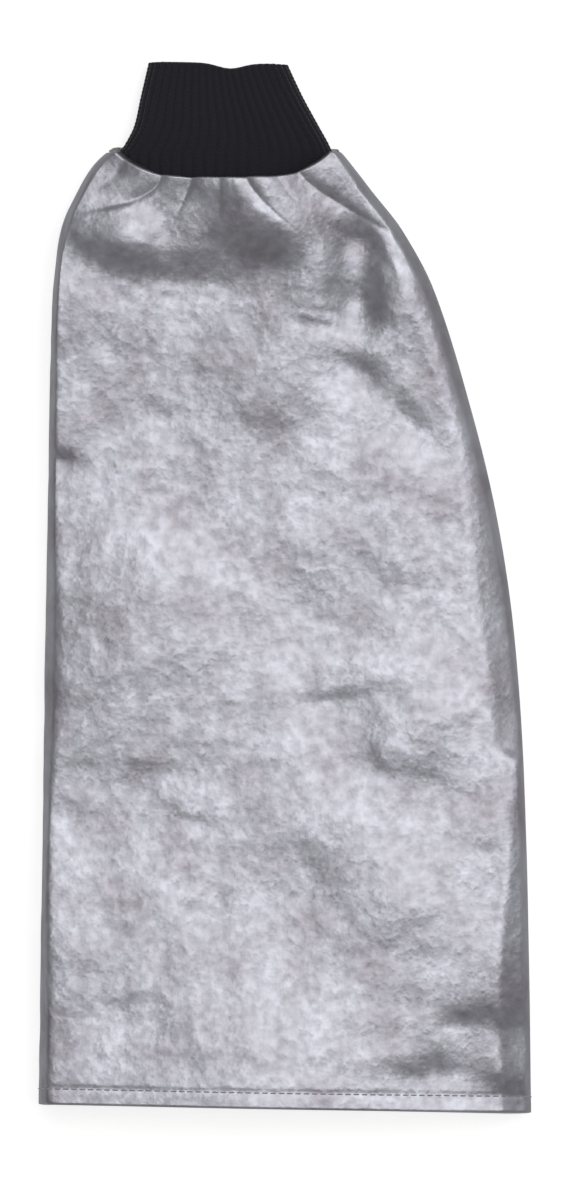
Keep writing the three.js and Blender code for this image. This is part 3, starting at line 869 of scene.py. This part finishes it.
class SLEEVE_OT_cloth_body(bpy.types.Operator):
    """Build the hollow cloth body with its gathers, folds, crumple and turned hem"""

    bl_idname = "sleeve.cloth_body"
    bl_label = "Cloth Body"

    def execute(self, context):
        cloth = context.scene.sleeve_cloth
        body = crumpled_body(cloth)
        wall_at = cloth.wall / MM + HEM_TURN * (body["places"] <= HEM_DEPTH)
        vertices, coated, backing = closed_wall(body, wall_at, CLOTH_BULGE, BODY_INNER)
        materials = [aluminium_coated_cloth(cloth), woven_backing(cloth)]
        piece = add_piece(
            "aluminised_cloth_body", vertices, coated + backing, materials
        )
        uncoated = np.arange(len(coated) + len(backing)) >= len(coated)
        piece.data.polygons.foreach_set("material_index", uncoated.astype(np.int32))
        self.unroll(piece.data, body, len(coated))
        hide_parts("sleeve_body")
        return {"FINISHED"}

    @staticmethod
    def unroll(mesh, body, coated_count):
        """Gives the coated face its place on the flat panel, in metres, for the weave to follow. The other
        faces take theirs from above."""
        places, posts = body["places"], body["posts"]
        rims = np.concatenate([np.zeros(RIM_STEPS), places, np.full(RIM_STEPS, places[-1])])
        starts, ends = cloth_across(rims, posts)
        along = np.concatenate([
            np.repeat(body["smooth"][:1, :, 1], RIM_STEPS, axis=0),
            body["smooth"][..., 1],
            np.repeat(body["smooth"][-1:, :, 1], RIM_STEPS, axis=0),
        ])
        ahead_along = np.roll(along, -1, axis=1)
        ahead_across = np.roll(ends, -1, axis=1)
        corners = [
            (starts[:-1], along[:-1]),
            (starts[1:], along[1:]),
            (ahead_across[1:], ahead_along[1:]),
            (ahead_across[:-1], ahead_along[:-1]),
        ]
        outer = np.stack([np.stack(pair, axis=-1) for pair in corners], axis=2).reshape(-1, 2)
        layer = mesh.uv_layers.new(name="panel")
        points = np.empty(len(mesh.vertices) * 3)
        mesh.vertices.foreach_get("co", points)
        owners = np.empty(len(mesh.loops), np.int32)
        mesh.loops.foreach_get("vertex_index", owners)
        spots = points.reshape(-1, 3)[owners][:, :2].copy()
        spots[:len(corners) * coated_count] = outer * MM
        layer.data.foreach_set("uv", spots.astype(np.float32).ravel())


def thread_capsule(start, end, lift, radius):
    """One stitch: a bent, round-ended bead of thread between two points on the cloth."""
    steps, sides = STITCH["steps"], STITCH["sides"]
    axis = end - start
    length = np.linalg.norm(axis)
    axis = axis / length
    side = np.cross(axis, lift)
    side = side / np.linalg.norm(side)
    up = np.cross(side, axis)
    rings = []
    for k in range(steps + 1):
        share = k / steps
        swell = math.sqrt(max(1 - (2 * share - 1) ** STITCH["fullness"], STITCH["tip"]))
        rise = STITCH["arch"] * math.sin(math.pi * share) - STITCH["sink"]
        centre = start + axis * length * share + up * radius * rise
        for s in range(sides):
            angle = 2 * math.pi * s / sides
            rings.append(centre + radius * swell * (math.cos(angle) * side + math.sin(angle) * up))
    faces = [
        (k * sides + s, k * sides + (s + 1) % sides, (k + 1) * sides + (s + 1) % sides, (k + 1) * sides + s)
        for k in range(steps) for s in range(sides)
    ]
    faces.append(tuple(range(sides))[::-1])
    faces.append(tuple(steps * sides + s for s in range(sides)))
    return np.array(rings), faces


class SLEEVE_OT_hem_stitching(bpy.types.Operator):
    """Build the row of lockstitches round the hem"""

    bl_idname = "sleeve.hem_stitching"
    bl_label = "Hem Stitching"

    def execute(self, context):
        stitching, cloth = context.scene.sleeve_stitching, context.scene.sleeve_cloth
        body = crumpled_body(cloth)
        ring = int(np.argmin(np.abs(body["places"] - HEM_DEPTH)))
        line, lifts = body["grid"][ring], outward(body["smooth"])[ring]
        line, lifts = (np.concatenate([values, values[:1]]) for values in (line, lifts))
        run = np.concatenate([[0], np.cumsum(np.linalg.norm(np.diff(line, axis=0), axis=1))])
        pitch = (stitching.length + stitching.gap) / MM
        radius = stitching.thread_width / MM / 2
        vertices = []
        faces = []
        used = 0
        for start in np.arange(0, run[-1] - pitch, pitch):
            at = np.array([start, start + stitching.length / MM])
            ends = np.stack([np.interp(at, run, line[:, k]) for k in range(3)], axis=-1)
            lift = np.array([np.interp(at.mean(), run, lifts[:, k]) for k in range(3)])
            points, stitch = thread_capsule(ends[0], ends[1], lift, radius)
            points[:, 2] = np.maximum(points[:, 2], 0)  # pressed flat where the hem lies on the floor
            vertices.append(points)
            faces += [tuple(used + i for i in face) for face in stitch]
            used += len(points)
        add_piece(
            "hem_stitching", np.concatenate(vertices), faces, [spun_thread(stitching)]
        )
        return {"FINISHED"}


class SLEEVE_OT_knit_cuff(bpy.types.Operator):
    """Build the ribbed knit cuff with its rows of loops"""

    bl_idname = "sleeve.knit_cuff"
    bl_label = "Knit Cuff"

    def execute(self, context):
        knit = context.scene.sleeve_knit
        wall, rib_depth = knit.wall / MM, knit.rib_depth / MM
        posts = posts_round(**{name: ribs * POSTS_PER_RIB for name, ribs in CUFF_RIBS.items()})
        places = np.linspace(CUFF_SECTIONS[0].along, CUFF_END - wall / 2, CUFF_STEPS + 1)
        phase = np.arange(len(posts.turn)) / POSTS_PER_RIB
        from_rib = phase - np.round(phase)
        valley = 1 - np.abs(np.cos(math.pi * from_rib)) ** RIB_FULLNESS
        rows = places[:, None] / (knit.loop_height / MM) - LOOP_SLANT * np.abs(from_rib)
        loops = 0.5 - 0.5 * np.cos(2 * math.pi * rows)
        inset = rib_depth * valley + knit.loop_depth / MM * loops * (1 - valley)
        tube = {
            "grid": cuff_points(places, posts, inset),
            "smooth": cuff_points(places, posts, np.zeros_like(inset)),
        }
        wall_at = np.full(len(places), wall)
        vertices, outside, inside = closed_wall(tube, wall_at, KNIT_BULGE, CUFF_INNER)
        materials = [black_rib_knit(knit)]
        piece = add_piece("rib_knit_cuff", vertices, outside + inside, materials)
        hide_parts("knit_cuff")
        return {"FINISHED"}


def white_floor(stage):
    """A sheet of white paper, evenly matte, lit so that it stays white."""
    material, tree = new_material("matte_white_paper")
    paper = shaded(stage.floor)
    shader = add_node(
        tree, "ShaderNodeBsdfPrincipled",
        {"Base Color": paper, "Roughness": 1, "Emission Color": paper,
         "Emission Strength": stage.floor_glow},
    )
    add_node(tree, "ShaderNodeOutputMaterial", {"Surface": shader.outputs["BSDF"]})
    return material


def lay_floor(scene, stage):
    """The floor, just below the sleeve. The coat doesn't mirror its glow."""
    half = stage.floor_size / 2
    mesh = bpy.data.meshes.new("floor")
    corners = [(-half, -half, 0), (half, -half, 0), (half, half, 0), (-half, half, 0)]
    mesh.from_pydata(corners, [], [(0, 1, 2, 3)])
    mesh.materials.append(white_floor(stage))
    floor = bpy.data.objects.new("floor", mesh)
    floor.location.z = -FLOOR_DROP * MM
    floor.visible_glossy = False
    scene.collection.objects.link(floor)


def light_room(scene, stage):
    """A grey room, paler round the sides than overhead."""
    world = bpy.data.worlds.new("grey_room")
    world.use_nodes = True
    tree = world.node_tree
    direction = add_node(tree, "ShaderNodeTexCoord")
    height = add_node(tree, "ShaderNodeSeparateXYZ", {"Vector": direction.outputs["Generated"]})
    shade = add_node(
        tree, "ShaderNodeMapRange",
        {"Value": height.outputs["Z"], "From Min": WALL_TOP, "From Max": CEILING_EDGE,
         "To Min": stage.room, "To Max": stage.ceiling},
    )
    background = tree.nodes["Background"]
    background.inputs["Color"].default_value = (1, 1, 1, 1)
    tree.links.new(shade.outputs["Result"], background.inputs["Strength"])
    scene.world = world


def hang_light(scene, stage, row):
    """A large rectangular light, turned from its place towards a point."""
    light = bpy.data.lights.new(row.name, "AREA")
    light.shape = "RECTANGLE"
    light.energy = getattr(stage, row.power)
    light.size, light.size_y = row.size
    lamp = bpy.data.objects.new(row.name, light)
    lamp.location = row.at
    x, y, z = np.array(row.towards) - np.array(row.at)
    lamp.rotation_euler = (math.atan2(math.hypot(x, y), -z), 0, math.atan2(y, x) - math.pi / 2)
    scene.collection.objects.link(lamp)


def set_camera(scene):
    """The camera straight above, with a lens that fills the picture's height."""
    camera = bpy.data.cameras.new("camera")
    camera.sensor_fit = "VERTICAL"
    camera.sensor_height = SENSOR_HEIGHT
    seen_height = PICTURE["height"] * PICTURE["mm_per_pixel"]
    camera.lens = SENSOR_HEIGHT * (EYE_HEIGHT - OUTLINE_HEIGHT) / seen_height
    eye = bpy.data.objects.new("camera", camera)
    eye.location = (PICTURE_CENTRE["x"] * MM, PICTURE_CENTRE["y"] * MM, EYE_HEIGHT * MM)
    scene.collection.objects.link(eye)
    scene.camera = eye
    scene.view_settings.view_transform = "Standard"


class SLEEVE_OT_stage(bpy.types.Operator):
    """Set up the pale floor, the soft light and the camera straight above"""

    bl_idname = "sleeve.stage"
    bl_label = "Stage"

    def execute(self, context):
        scene, stage = context.scene, context.scene.sleeve_stage
        lay_floor(scene, stage)
        light_room(scene, stage)
        for row in LIGHTS:
            hang_light(scene, stage, row)
        set_camera(scene)
        return {"FINISHED"}


class SLEEVE_PT_panel(bpy.types.Panel):
    """The sleeve's pieces and the values that a user may change"""

    bl_idname = "SLEEVE_PT_panel"
    bl_label = "Work Sleeve"
    bl_space_type = "VIEW_3D"
    bl_region_type = "UI"
    bl_category = "Sleeve"

    def draw(self, context):
        for operator in OPERATORS:
            self.layout.operator(operator.bl_idname)
        for name, group in PROPERTY_GROUPS.items():
            box = self.layout.box()
            box.label(text=group.__doc__)
            for value in group.__annotations__:
                box.prop(getattr(context.scene, name), value)


OPERATORS = (SLEEVE_OT_stage, SLEEVE_OT_hem_stitching, SLEEVE_OT_cloth_body, SLEEVE_OT_knit_cuff)


def register():
    for group in PROPERTY_GROUPS.values():
        bpy.utils.register_class(group)
    for name, group in PROPERTY_GROUPS.items():
        setattr(bpy.types.Scene, name, PointerProperty(type=group))
    for member in (*OPERATORS, SLEEVE_PT_panel):
        bpy.utils.register_class(member)


def unregister():
    for member in (SLEEVE_PT_panel, *reversed(OPERATORS)):
        bpy.utils.unregister_class(member)
    for name, group in PROPERTY_GROUPS.items():
        delattr(bpy.types.Scene, name)
        bpy.utils.unregister_class(group)


def main():
    register()
    bpy.ops.sleeve.stage()
    bpy.ops.sleeve.hem_stitching()
    bpy.ops.sleeve.cloth_body()
    bpy.ops.sleeve.knit_cuff()


if __name__ == "__main__":
    main()
